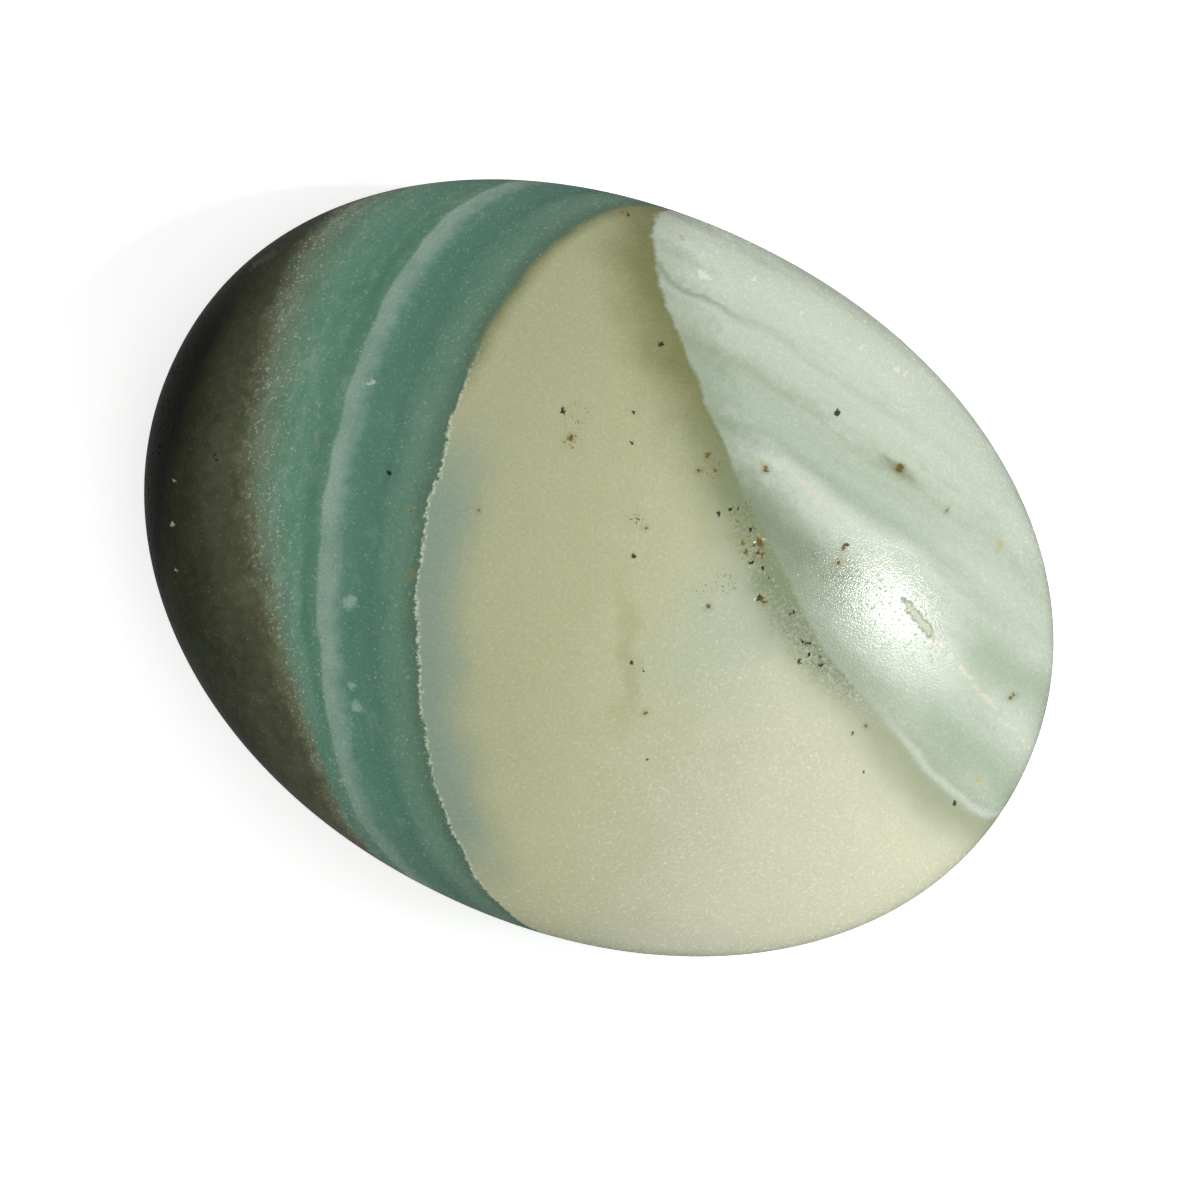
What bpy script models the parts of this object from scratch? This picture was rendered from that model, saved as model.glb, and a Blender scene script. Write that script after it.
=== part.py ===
"""A polished worry stone: one oval palm stone that lies on the worn flat of its belly.

Metres, +Z up. +X runs along the stone's length and +Y across it. The origin is under
the middle of the stone, on the flat that it rests on.

The body is a unit sphere whose points are moved onto the stone's own form: a plan
outline that is a slightly full oval with a hand-ground wobble, and a domed section
that is a little higher above the girdle than it is deep below it. Two small marks are
cut into it: a pocket where a soft vein was undercut by the polishing, and a flake scar
on the girdle.
"""

import math

import bmesh
import bpy
from mathutils import Matrix, Vector

# Driving dimensions of the body
LENGTH = 0.0500
WIDTH = 0.0382
DOME = 0.0100
BELLY = 0.0092
SEAT_LENGTH = 0.0130

# Form of the plan outline: 2 is a true ellipse, and more is fuller towards the corners
PLAN_FULLNESS = 2.064
THREE_SIDED_WOBBLE = 0.0023
FOUR_SIDED_WOBBLE = -0.0013

# Facets of the body, and of each cutter
BODY_SEGMENTS = 80
BODY_RINGS = 40
CUTTER_SEGMENTS = 20
CUTTER_RINGS = 12

# The undercut pocket in the vein: place in plan, direction, and size at the surface
POCKET_PLACE = (0.0166, 0.0050)
POCKET_HEADING = math.radians(-25.5)
POCKET_LENGTH = 0.0027
POCKET_WIDTH = 0.0007
POCKET_DEPTH = 0.00014

# The flake scar, given in the same way
FLAKE_PLACE = (-0.0230, 0.0063)
FLAKE_HEADING = math.radians(66.0)
FLAKE_LENGTH = 0.0024
FLAKE_WIDTH = 0.0013
FLAKE_DEPTH = 0.00016

# A cutter's own half height, as a share of the depth that it cuts
CUTTER_HEIGHT_SHARE = 2.2

# Step for reading the surface's slope, as a share of the outline
SLOPE_STEP = 0.001

# Two facets that meet at more than this are shaded with an edge between them
EDGE_ANGLE = math.radians(12)

STONE_COLOUR = (0.48, 0.52, 0.36, 1.0)
STONE_ROUGHNESS = 0.22


def signed_power(value, power):
    """value raised to power with its sign kept."""
    return math.copysign(abs(value) ** power, value)


def surface_point(azimuth, reach, side):
    """A point of the stone above (side 1) or below (side -1) the girdle.

    azimuth goes round the stone, and reach runs from 0 on its middle to 1 on its girdle.
    Heights are measured from the girdle.
    """
    wobble = (
        1
        + THREE_SIDED_WOBBLE * math.sin(3 * azimuth)
        + FOUR_SIDED_WOBBLE * math.sin(4 * azimuth)
    )
    x = LENGTH / 2 * signed_power(math.cos(azimuth), 2 / PLAN_FULLNESS)
    y = WIDTH / 2 * signed_power(math.sin(azimuth), 2 / PLAN_FULLNESS)
    rise = DOME if side > 0 else -BELLY
    z = rise * math.sqrt(max(0.0, 1 - reach**2))
    return Vector((x * reach * wobble, y * reach * wobble, z))


def top_point(x, y):
    """The point of the domed side over a place in plan."""
    along = signed_power(2 * x / LENGTH, PLAN_FULLNESS / 2)
    across = signed_power(2 * y / WIDTH, PLAN_FULLNESS / 2)
    reach = math.hypot(along, across) ** (2 / PLAN_FULLNESS)
    return surface_point(math.atan2(across, along), min(reach, 1.0), 1)


def top_normal(x, y):
    """The outward normal of the domed side over a place in plan."""
    step = LENGTH * SLOPE_STEP
    along = top_point(x + step, y) - top_point(x - step, y)
    across = top_point(x, y + step) - top_point(x, y - step)
    return along.cross(across).normalized()


def seat_height():
    """Height of the flat that the stone rests on, measured from the girdle."""
    return -BELLY * math.sqrt(1 - (SEAT_LENGTH / LENGTH) ** 2)


def new_object(name, mesh_builder, collection):
    """An object in collection whose mesh is what bmesh holds in mesh_builder."""
    mesh = bpy.data.meshes.new(name)
    mesh_builder.to_mesh(mesh)
    mesh_builder.free()
    obj = bpy.data.objects.new(name, mesh)
    collection.objects.link(obj)
    return obj


def make_body(collection):
    """The whole stone before its small marks are cut, with its seat flat on z = 0."""
    shape = bmesh.new()
    bmesh.ops.create_uvsphere(
        shape, u_segments=BODY_SEGMENTS, v_segments=BODY_RINGS, radius=1.0
    )
    for vertex in shape.verts:
        azimuth = math.atan2(vertex.co.y, vertex.co.x)
        reach = min(1.0, math.hypot(vertex.co.x, vertex.co.y))
        vertex.co = surface_point(azimuth, reach, 1 if vertex.co.z >= 0 else -1)
    cut = bmesh.ops.bisect_plane(
        shape,
        geom=shape.verts[:] + shape.edges[:] + shape.faces[:],
        plane_co=(0, 0, seat_height()),
        plane_no=(0, 0, -1),
        clear_outer=True,
    )
    rim = [item for item in cut["geom_cut"] if isinstance(item, bmesh.types.BMEdge)]
    bmesh.ops.contextual_create(shape, geom=rim)
    bmesh.ops.recalc_face_normals(shape, faces=shape.faces)
    bmesh.ops.translate(shape, verts=shape.verts, vec=(0, 0, -seat_height()))
    body = new_object("stone", shape, collection)
    body.data.shade_smooth()
    body.data.set_sharp_from_angle(angle=EDGE_ANGLE)
    return body


def make_dish_cutter(name, place, heading, length, width, depth, collection):
    """A flattened ball that cuts a shallow dish of the given size into the domed side."""
    half_height = CUTTER_HEIGHT_SHARE * depth
    lift = half_height - depth
    shrink = math.sqrt(1 - (lift / half_height) ** 2)
    shape = bmesh.new()
    bmesh.ops.create_uvsphere(
        shape, u_segments=CUTTER_SEGMENTS, v_segments=CUTTER_RINGS, radius=1.0
    )
    bmesh.ops.scale(
        shape,
        verts=shape.verts,
        vec=(length / 2 / shrink, width / 2 / shrink, half_height),
    )
    cutter = new_object(name, shape, collection)
    up = top_normal(*place)
    along = Vector((math.cos(heading), math.sin(heading), 0))
    along = (along - along.project(up)).normalized()
    across = up.cross(along)
    centre = top_point(*place) + up * lift - Vector((0, 0, seat_height()))
    turn = Matrix((along, across, up)).transposed().to_4x4()
    cutter.matrix_world = Matrix.Translation(centre) @ turn
    cutter.hide_render = True
    cutter.display_type = "WIRE"
    return cutter


def cut_with(body, cutter):
    """Takes the cutter's shape away from the body."""
    cut = body.modifiers.new(cutter.name, "BOOLEAN")
    cut.operation = "DIFFERENCE"
    cut.solver = "EXACT"
    cut.object = cutter


def polished_stone():
    """The pale green polish that stands for the whole banded stone."""
    material = bpy.data.materials.new("polished_stone")
    material.use_nodes = True
    shader = material.node_tree.nodes["Principled BSDF"]
    shader.inputs["Base Color"].default_value = STONE_COLOUR
    shader.inputs["Roughness"].default_value = STONE_ROUGHNESS
    shader.inputs["Metallic"].default_value = 0.0
    return material


def new_collection(name):
    """A collection in the scene."""
    collection = bpy.data.collections.new(name)
    bpy.context.scene.collection.children.link(collection)
    return collection


def clear_scene():
    """Removes every object of the scene that the script starts in."""
    for obj in list(bpy.data.objects):
        bpy.data.objects.remove(obj)


def main():
    clear_scene()
    parts = new_collection("worry_stone")
    cutters = new_collection("cutters")
    body = make_body(parts)
    body.data.materials.append(polished_stone())
    pocket = make_dish_cutter(
        "vein_pocket",
        POCKET_PLACE,
        POCKET_HEADING,
        POCKET_LENGTH,
        POCKET_WIDTH,
        POCKET_DEPTH,
        cutters,
    )
    flake = make_dish_cutter(
        "girdle_flake",
        FLAKE_PLACE,
        FLAKE_HEADING,
        FLAKE_LENGTH,
        FLAKE_WIDTH,
        FLAKE_DEPTH,
        cutters,
    )
    cut_with(body, pocket)
    cut_with(body, flake)


main()
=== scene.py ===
"""A banded, polished worry stone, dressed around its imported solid.

The stone is one piece. Its skin is a fine mesh on the form of the solid, with the small
open marks that the polishing left. Its colour is worked out in depth, as the rock has it:
tilted beds of umber, teal, cream and pale green run through the whole stone, so that
the sides and the belly show the same beds as the top.
"""

import logging
import math
from dataclasses import dataclass, field
from enum import Enum
from typing import Any, Union

import bmesh
import bpy
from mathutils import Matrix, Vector, noise


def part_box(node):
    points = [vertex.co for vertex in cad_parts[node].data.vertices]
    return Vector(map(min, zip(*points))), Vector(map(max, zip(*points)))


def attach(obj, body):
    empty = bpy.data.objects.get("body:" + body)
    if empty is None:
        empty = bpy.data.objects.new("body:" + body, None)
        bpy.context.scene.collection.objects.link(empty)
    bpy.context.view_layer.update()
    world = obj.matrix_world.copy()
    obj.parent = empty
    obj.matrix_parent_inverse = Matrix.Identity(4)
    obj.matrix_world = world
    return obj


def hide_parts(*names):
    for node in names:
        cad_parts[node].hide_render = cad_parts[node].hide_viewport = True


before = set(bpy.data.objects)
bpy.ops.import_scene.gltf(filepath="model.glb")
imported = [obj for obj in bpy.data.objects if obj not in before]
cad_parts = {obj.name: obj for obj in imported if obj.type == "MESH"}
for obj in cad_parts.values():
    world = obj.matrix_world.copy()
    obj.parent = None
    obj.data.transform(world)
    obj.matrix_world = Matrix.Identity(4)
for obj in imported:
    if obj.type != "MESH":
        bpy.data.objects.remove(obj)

log = logging.getLogger("worry_stone")

MM = 0.001
NOISE_ROUGHNESS = 0.55

Socket = bpy.types.NodeSocket
Colour = tuple[float, float, float, float]
Stops = tuple[tuple[float, Colour], ...]
# Where a rise starts and ends, a hill's centre and half width, or the two ends of a range
Span = tuple[float, float]


def tint(red: int, green: int, blue: int) -> Colour:
    """A linear colour from the red, green and blue that an sRGB screen shows, 0 to 255."""
    shares = (red / 255, green / 255, blue / 255)
    return tuple(c / 12.92 if c <= 0.04045 else ((c + 0.055) / 1.055) ** 2.4 for c in shares) + (1.0,)


class Signal:
    """A number that changes over a surface, held as the socket that gives it."""

    def __init__(self, bench: "NodeBench", socket: Socket) -> None:
        """Keeps the bench that makes its nodes, and the socket."""
        self.bench = bench
        self.socket = socket

    def __add__(self, other: "Amount") -> "Signal":
        """self + other."""
        return self.bench.math("ADD", self, other)

    def __radd__(self, other: "Amount") -> "Signal":
        """other + self."""
        return self.bench.math("ADD", other, self)

    def __sub__(self, other: "Amount") -> "Signal":
        """self - other."""
        return self.bench.math("SUBTRACT", self, other)

    def __rsub__(self, other: "Amount") -> "Signal":
        """other - self."""
        return self.bench.math("SUBTRACT", other, self)

    def __mul__(self, other: "Amount") -> "Signal":
        """self * other."""
        return self.bench.math("MULTIPLY", self, other)

    def __rmul__(self, other: "Amount") -> "Signal":
        """other * self."""
        return self.bench.math("MULTIPLY", other, self)

    def __truediv__(self, other: "Amount") -> "Signal":
        """self / other."""
        return self.bench.math("DIVIDE", self, other)

    def __pow__(self, other: "Amount") -> "Signal":
        """self ** other."""
        return self.bench.math("POWER", self, other)

    def __abs__(self) -> "Signal":
        """abs(self)."""
        return self.bench.math("ABSOLUTE", self)

    def at_least(self, other: "Amount") -> "Signal":
        """The larger of self and other."""
        return self.bench.math("MAXIMUM", self, other)

    def between(self, low: float, high: float) -> "Signal":
        """low where self is 0, and high where it is 1."""
        return self * (high - low) + low

    def rise(self, low: float, high: float) -> "Signal":
        """A soft step from 0 where self is low to 1 where it is high. low may be the larger."""
        return self.bench.soft_step(self, low, high)

    def hill(self, centre: float, half_width: float) -> "Signal":
        """A soft bump that is 1 where self is centre and fades out over half_width."""
        return self.bench.soft_step(abs(self - centre), half_width, 0.0)


Amount = Union[Signal, float]


@dataclass(frozen=True)
class Bed:
    """A plane of the rock's layering, in plan millimetres.

    Its reading is 0 on the plane and grows to the right of the stone.
    """

    across: float
    up: float
    high: float
    offset: float


class NodeBench:
    """Makes the nodes of one material or world, and joins them."""

    def __init__(self, tree: bpy.types.NodeTree) -> None:
        """Starts on an empty node tree."""
        self.tree = tree
        tree.nodes.clear()

    def node(
        self,
        kind: str,
        settings: dict[str, Any] | None = None,
        sockets: dict[str | int, Any] | None = None,
    ) -> bpy.types.Node:
        """Makes a node.

        Args:
            kind: the node's type, such as ShaderNodeTexNoise.
            settings: its settings, which are set first. stops sets a colour ramp.
            sockets: a value, a socket or a Signal for each input, by name or number.

        Returns:
            The node.
        """
        made = self.tree.nodes.new(kind)
        for name, value in (settings or {}).items():
            if name == "stops":
                self._set_stops(made.color_ramp, value)
            else:
                setattr(made, name, value)
        for key, value in (sockets or {}).items():
            source = value.socket if isinstance(value, Signal) else value
            if isinstance(source, bpy.types.NodeSocket):
                self.tree.links.new(source, made.inputs[key])
            else:
                made.inputs[key].default_value = source
        return made

    @staticmethod
    def _set_stops(ramp: bpy.types.ColorRamp, stops: Stops) -> None:
        """Gives a colour ramp its stops.

        Args:
            ramp: the colour ramp.
            stops: the place and colour of each stop, in order.
        """
        while len(ramp.elements) < len(stops):
            ramp.elements.new(1.0)
        for element, (place, colour) in zip(ramp.elements, stops):
            element.position = place
            element.color = colour

    def math(self, operation: str, *values: Amount) -> Signal:
        """A Math node of the given operation."""
        sockets = dict(enumerate(values))
        return Signal(self, self.node("ShaderNodeMath", {"operation": operation}, sockets).outputs[0])

    def soft_step(self, value: Signal, low: float, high: float) -> Signal:
        """An eased rise, or a fall where low is the larger.

        Args:
            value: what is read.
            low: the value that gives 0.
            high: the value that gives 1.

        Returns:
            The eased share, 0 to 1.
        """
        flip = low > high
        sockets = {"Value": value, "From Min": min(low, high), "From Max": max(low, high)}
        sockets |= {"To Min": float(flip), "To Max": float(not flip)}
        made = self.node("ShaderNodeMapRange", {"interpolation_type": "SMOOTHSTEP"}, sockets)
        return Signal(self, made.outputs["Result"])

    def vector(self, operation: str, *values: Any, scale: Amount | None = None) -> bpy.types.Node:
        """Makes a Vector Math node.

        Args:
            operation: the node's operation.
            values: a vector or a socket for each input, in order.
            scale: the number that a vector is scaled by.

        Returns:
            The node.
        """
        sockets: dict[str | int, Any] = dict(enumerate(values))
        if scale is not None:
            sockets["Scale"] = scale
        return self.node("ShaderNodeVectorMath", {"operation": operation}, sockets)

    def reading(self, place: Socket, bed: Bed) -> Signal:
        """How far a place is from a bed's plane, counted across the stone."""
        slope = (bed.across, bed.up, bed.high)
        return Signal(self, self.vector("DOT_PRODUCT", place, slope).outputs["Value"]) - bed.offset

    def noise(self, place: Socket, per_mm: float, detail: float) -> bpy.types.Node:
        """A noise whose largest lumps are about 1 / per_mm wide."""
        sockets = {"Vector": place, "Scale": per_mm, "Detail": detail, "Roughness": NOISE_ROUGHNESS}
        return self.node("ShaderNodeTexNoise", {}, sockets)

    def cloud(self, place: Socket, per_mm: float, detail: float) -> Signal:
        """Soft noise about 0, from about -0.3 to 0.3."""
        return Signal(self, self.noise(place, per_mm, detail).outputs["Fac"]) - 0.5

    def clouds(self, place: Socket, per_mm: float, detail: float) -> list[Signal]:
        """Three soft noises about 0 that have nothing to do with each other.

        Args:
            place: where the noises are read.
            per_mm: their lumps per millimetre.
            detail: how many finer steps are laid on them.

        Returns:
            The three noises.
        """
        colour = self.noise(place, per_mm, detail).outputs["Color"]
        parts = self.node("ShaderNodeSeparateColor", {}, {"Color": colour})
        return [Signal(self, output) - 0.5 for output in parts.outputs]

    def shifted(self, place: Socket, per_mm: float, reach: float) -> Socket:
        """A place, moved about softly, so that what reads it wavers.

        Args:
            place: the place.
            per_mm: lumps of the movement per millimetre.
            reach: about the largest movement, in millimetres.

        Returns:
            The moved place.
        """
        drift = self.noise(place, per_mm, 1.0).outputs["Color"]
        centred = self.vector("SUBTRACT", drift, (0.5, 0.5, 0.5)).outputs["Vector"]
        moved = self.vector("SCALE", centred, scale=2.0 * reach).outputs["Vector"]
        return self.vector("ADD", place, moved).outputs["Vector"]

    def ramp(self, value: Signal, stops: Stops) -> Socket:
        """A colour that follows value through the stops."""
        return self.node("ShaderNodeValToRGB", {"stops": stops}, {"Fac": value}).outputs["Color"]

    def mix(self, share: Amount, first: Socket | Colour, second: Socket | Colour) -> Socket:
        """first where share is 0, second where it is 1."""
        settings = {"data_type": "RGBA"}
        return self.node("ShaderNodeMix", settings, {0: share, 6: first, 7: second}).outputs[2]

    def dim(self, colour: Socket, light: Signal) -> Socket:
        """colour times a number."""
        return self.vector("SCALE", colour, scale=light).outputs["Vector"]


class Side(Enum):
    """The two domes of the stone, as the sign of their height over the girdle."""

    TOP = 1
    BELLY = -1


class Mineral(Enum):
    """What a speck is made of, as the colour that it shows."""

    BLACK = tint(27, 22, 9)
    RUST = tint(108, 92, 34)
    TAN = tint(190, 186, 134)
    PALE = tint(196, 208, 186)
    # Pale grains, and the painted glints on the left rim.
    MILK = tint(158, 184, 168)
    CHALK = tint(240, 240, 218)

    @property
    def strength(self) -> float:
        """How much of the stone's own colour it covers, 0 to 1."""
        return 0.7 if self in (Mineral.TAN, Mineral.PALE, Mineral.MILK) else 0.92

    @property
    def blur(self) -> float:
        """How far its edge fades out, in millimetres."""
        return 0.20 if self is Mineral.MILK else 0.02


@dataclass(frozen=True)
class Heading:
    """How the stone lay before the lens: its plan axes against the picture's.

    Plan millimetres run right and up in the picture from the middle of the stone.
    """

    turn: float = math.radians(26.34)

    def plan_of(self, x: float, y: float) -> tuple[float, float]:
        """Turns a place in metres into plan millimetres.

        Args:
            x: the place along the stone.
            y: the place across the stone.

        Returns:
            The place to the right and up in the picture.
        """
        across = (x * math.cos(self.turn) + y * math.sin(self.turn)) / MM
        up = (y * math.cos(self.turn) - x * math.sin(self.turn)) / MM
        return across, up

    def place_of(self, across: float, up: float) -> tuple[float, float]:
        """Turns plan millimetres into a place in metres.

        Args:
            across: the place to the right in the picture.
            up: the place up in the picture.

        Returns:
            The place along and across the stone.
        """
        x = (across * math.cos(self.turn) - up * math.sin(self.turn)) * MM
        y = (up * math.cos(self.turn) + across * math.sin(self.turn)) * MM
        return x, y


@dataclass(frozen=True)
class StoneForm:
    """The worn form that the solid has too: a full oval with a dome on each side."""

    low: Vector
    high: Vector
    dome: float = 0.0100
    belly: float = 0.0092
    plan_fullness: float = 2.064
    three_sided_wobble: float = 0.0023
    four_sided_wobble: float = -0.0013
    seat_blend: float = 0.00010
    hand_ground_swell: float = 0.000022
    swells_per_metre: float = 95.0

    @property
    def girdle(self) -> float:
        """Height of the widest line above the seat."""
        return self.high.z - self.dome

    def point(self, azimuth: float, polar: float, side: Side) -> Vector:
        """A point of the worn surface.

        Args:
            azimuth: the way round the stone, from its long axis.
            polar: 0 on the middle of the dome, and a quarter turn on the girdle.
            side: the dome.

        Returns:
            The point, in metres.
        """
        half_length = (self.high.x - self.low.x) / 2
        half_width = (self.high.y - self.low.y) / 2
        wobble = (
            1
            + self.three_sided_wobble * math.sin(3 * azimuth)
            + self.four_sided_wobble * math.sin(4 * azimuth)
        )
        reach = math.sin(polar) * wobble
        x = half_length * reach * self._full(math.cos(azimuth))
        y = half_width * reach * self._full(math.sin(azimuth))
        rise = self.dome if side is Side.TOP else -self.belly
        z = self.girdle + rise * math.cos(polar)
        return Vector((x, y, self._rest_on_seat(z)))

    def _full(self, value: float) -> float:
        """A cosine or sine, filled out towards the oval's corners."""
        return math.copysign(abs(value) ** (2 / self.plan_fullness), value)

    def _rest_on_seat(self, z: float) -> float:
        """The height, kept at or above the seat with a rounded edge."""
        near = max(self.seat_blend - abs(z), 0.0) / self.seat_blend
        return max(z, 0.0) + near * near * self.seat_blend / 4

    def swell(self, point: Vector) -> float:
        """How far the hand grinding left the surface in or out at a point."""
        return self.hand_ground_swell * noise.noise(point * self.swells_per_metre)


@dataclass(frozen=True)
class Mark:
    """A small open hollow in the top, in plan millimetres, with its heading in degrees."""

    across: float
    up: float
    heading: float
    length: float
    width: float
    depth: float
    steepness: float = 3.0
    raggedness: float = 0.35
    lumps_per_mm: float = 2.2

    def beds(self) -> tuple[Bed, Bed]:
        """The two upright planes through its middle.

        Returns:
            The plane that counts along its length, and the one that counts beside it.
        """
        turn = math.radians(self.heading)
        right, over = math.cos(turn), math.sin(turn)
        along = Bed(right, over, 0.0, right * self.across + over * self.up)
        beside = Bed(-over, right, 0.0, right * self.up - over * self.across)
        return along, beside

    def along_and_beside(self, across: float, up: float) -> tuple[float, float]:
        """How far a place is from its middle.

        Args:
            across: the place to the right, in plan millimetres.
            up: the place up, in plan millimetres.

        Returns:
            The way along its length and the way beside it, in millimetres.
        """
        along, beside = self.beds()
        return (
            along.across * across + along.up * up - along.offset,
            beside.across * across + beside.up * up - beside.offset,
        )

    def depth_at(self, across: float, up: float) -> float:
        """How deep the mark is at a place.

        Args:
            across: the place to the right, in plan millimetres.
            up: the place up, in plan millimetres.

        Returns:
            The depth, in millimetres.
        """
        along, beside = self.along_and_beside(across, up)
        lump = noise.noise(Vector((across, up, self.length)) * self.lumps_per_mm)
        away = math.hypot(2 * along / self.length, 2 * beside / self.width)
        inside = min(1.0, max(0.0, (1 + self.raggedness * lump - away) * self.steepness))
        return self.depth * inside * inside * (3 - 2 * inside)

    def holds(self, across: float, up: float, margin: float) -> bool:
        """Whether a place is in the mark or within margin millimetres of it."""
        along, beside = self.along_and_beside(across, up)
        return abs(along) < self.length / 2 + margin and abs(beside) < self.width / 2 + margin


@dataclass(frozen=True)
class FlakeScar:
    """A small flat that a chip left near the girdle, in metres."""

    middle: Vector
    outward: Vector
    depth: float = 0.00005
    reach: float = 0.0022

    @classmethod
    def on(cls, form: StoneForm, azimuth: float, polar: float) -> "FlakeScar":
        """Lays a scar on the top of a form.

        Args:
            form: the form.
            azimuth: the way round it, from its long axis.
            polar: the way down from its middle, as in StoneForm.point.

        Returns:
            The scar.
        """
        step = 0.001
        middle = form.point(azimuth, polar, Side.TOP)
        down = form.point(azimuth, polar + step, Side.TOP) - middle
        round_it = form.point(azimuth + step, polar, Side.TOP) - middle
        return cls(middle, down.cross(round_it).normalized())

    def cut(self, point: Vector) -> Vector:
        """Lays a point on the flat where it is within reach and stands out of it.

        Args:
            point: a point of the surface.

        Returns:
            The point, moved where the scar cuts it.
        """
        if (point - self.middle).length > self.reach:
            return point
        over = (point - self.middle).dot(self.outward) + self.depth
        return point - self.outward * max(over, 0.0)


@dataclass(frozen=True)
class Speck:
    """A small spot on the top, mostly an inclusion, a few of them painted glints: its place in plan
    millimetres, and its radius.
    """

    across: float
    up: float
    radius: float = 0.11


SPECKS: dict[Mineral, tuple[Speck, ...]] = {
    Mineral.BLACK: (
        Speck(-1.85, 8.21, 0.16), Speck(1.80, 6.57, 0.10), Speck(1.86, 8.21, 0.10),
        Speck(3.29, 11.70, 0.13), Speck(1.75, 0.64, 0.16), Speck(2.12, 2.49, 0.11),
        Speck(1.80, -5.02, 0.11), Speck(2.65, -10.05, 0.10), Speck(1.59, 18.63, 0.10),
        Speck(6.25, 2.86, 0.15), Speck(6.94, 3.13, 0.13), Speck(7.36, 3.18, 0.10),
        Speck(8.05, 1.96, 0.10), Speck(8.26, 2.01, 0.09), Speck(8.10, 1.17, 0.10),
        Speck(8.31, 0.74, 0.11), Speck(7.94, 0.21, 0.13), Speck(8.47, -0.05, 0.09),
        Speck(8.90, -0.53, 0.10), Speck(8.42, -1.64, 0.19), Speck(10.11, -2.38, 0.12),
        Speck(10.70, -3.86, 0.12), Speck(11.01, -3.91, 0.14), Speck(11.07, -4.44, 0.12),
        Speck(11.65, -4.55, 0.10), Speck(10.59, -4.87, 0.12), Speck(11.70, -5.02, 0.10),
        Speck(13.29, -8.78, 0.12), Speck(18.74, -12.43, 0.14), Speck(12.49, 8.10, 0.17),
        Speck(12.97, 1.22, 0.15), Speck(-10.95, 4.92, 0.14), Speck(13.92, -10.69, 0.07),
        Speck(2.41, -5.40, 0.07), Speck(-20.21, 5.82, 0.08), Speck(-20.07, 5.61, 0.08),
    ),
    Mineral.RUST: (
        Speck(-1.53, 6.78, 0.15), Speck(-6.35, 2.91, 0.08), Speck(2.49, 2.07, 0.11),
        Speck(2.39, -7.62, 0.08), Speck(5.77, -2.11, 0.12), Speck(1.33, 18.74, 0.09),
        Speck(5.72, 5.88, 0.13), Speck(6.09, 5.19, 0.10), Speck(5.30, 5.08, 0.09),
        Speck(8.42, 1.22, 0.20), Speck(8.58, 0.64, 0.16), Speck(7.57, 1.38, 0.10),
        Speck(7.68, 0.80, 0.12), Speck(8.74, 5.14, 0.15), Speck(8.66, -1.86, 0.12),
        Speck(12.60, 0.32, 0.12), Speck(12.85, 1.02, 0.14), Speck(15.78, 5.19, 0.24),
        Speck(21.76, -6.88, 0.13), Speck(21.90, -6.72, 0.10), Speck(18.26, 3.07, 0.09),
        Speck(14.03, -8.31, 0.07), Speck(-9.63, 2.91, 0.07), Speck(-9.63, -0.26, 0.08),
        Speck(-9.94, -0.53, 0.08),
    ),
    Mineral.TAN: (
        Speck(4.45, 17.31, 0.15), Speck(20.11, -11.16, 0.22), Speck(21.01, 1.17, 0.24),
        Speck(8.50, 5.45, 0.16),
    ),
    Mineral.CHALK: (
        Speck(5.46, 15.30, 0.22), Speck(5.80, 15.15, 0.18), Speck(8.10, 15.20, 0.15),
        Speck(10.75, 13.39, 0.16), Speck(13.98, 11.49, 0.16), Speck(15.80, 10.43, 0.20),
        Speck(16.20, 10.20, 0.13),
    ),
    Mineral.PALE: (
        Speck(-11.80, 9.74, 0.20), Speck(-12.02, 9.66, 0.12), Speck(8.70, 1.38, 0.12),
        # These three, on the dark left rim, are painted glints, not grains.
        Speck(-22.33, 4.55, 0.10), Speck(-22.38, 2.33, 0.07), Speck(-22.30, -0.05, 0.07),
    ),
    Mineral.MILK: (
        Speck(-12.96, -1.85, 0.32), Speck(-12.70, -7.25, 0.26), Speck(-12.92, -6.20, 0.14),
    ),
}


DUSTINGS: tuple[Speck, ...] = (
    Speck(-1.20, 7.90, 1.1),
    Speck(-1.50, 6.60, 0.9),
    Speck(2.00, 2.60, 0.8),
    Speck(6.00, 5.30, 0.9),
    Speck(7.70, 2.90, 1.1),
    Speck(8.10, 0.90, 1.0),
    Speck(8.70, 5.30, 0.5),
    Speck(5.50, -1.20, 0.8),
    Speck(6.60, -0.70, 0.9),
    Speck(10.90, -4.40, 0.9),
)


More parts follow.
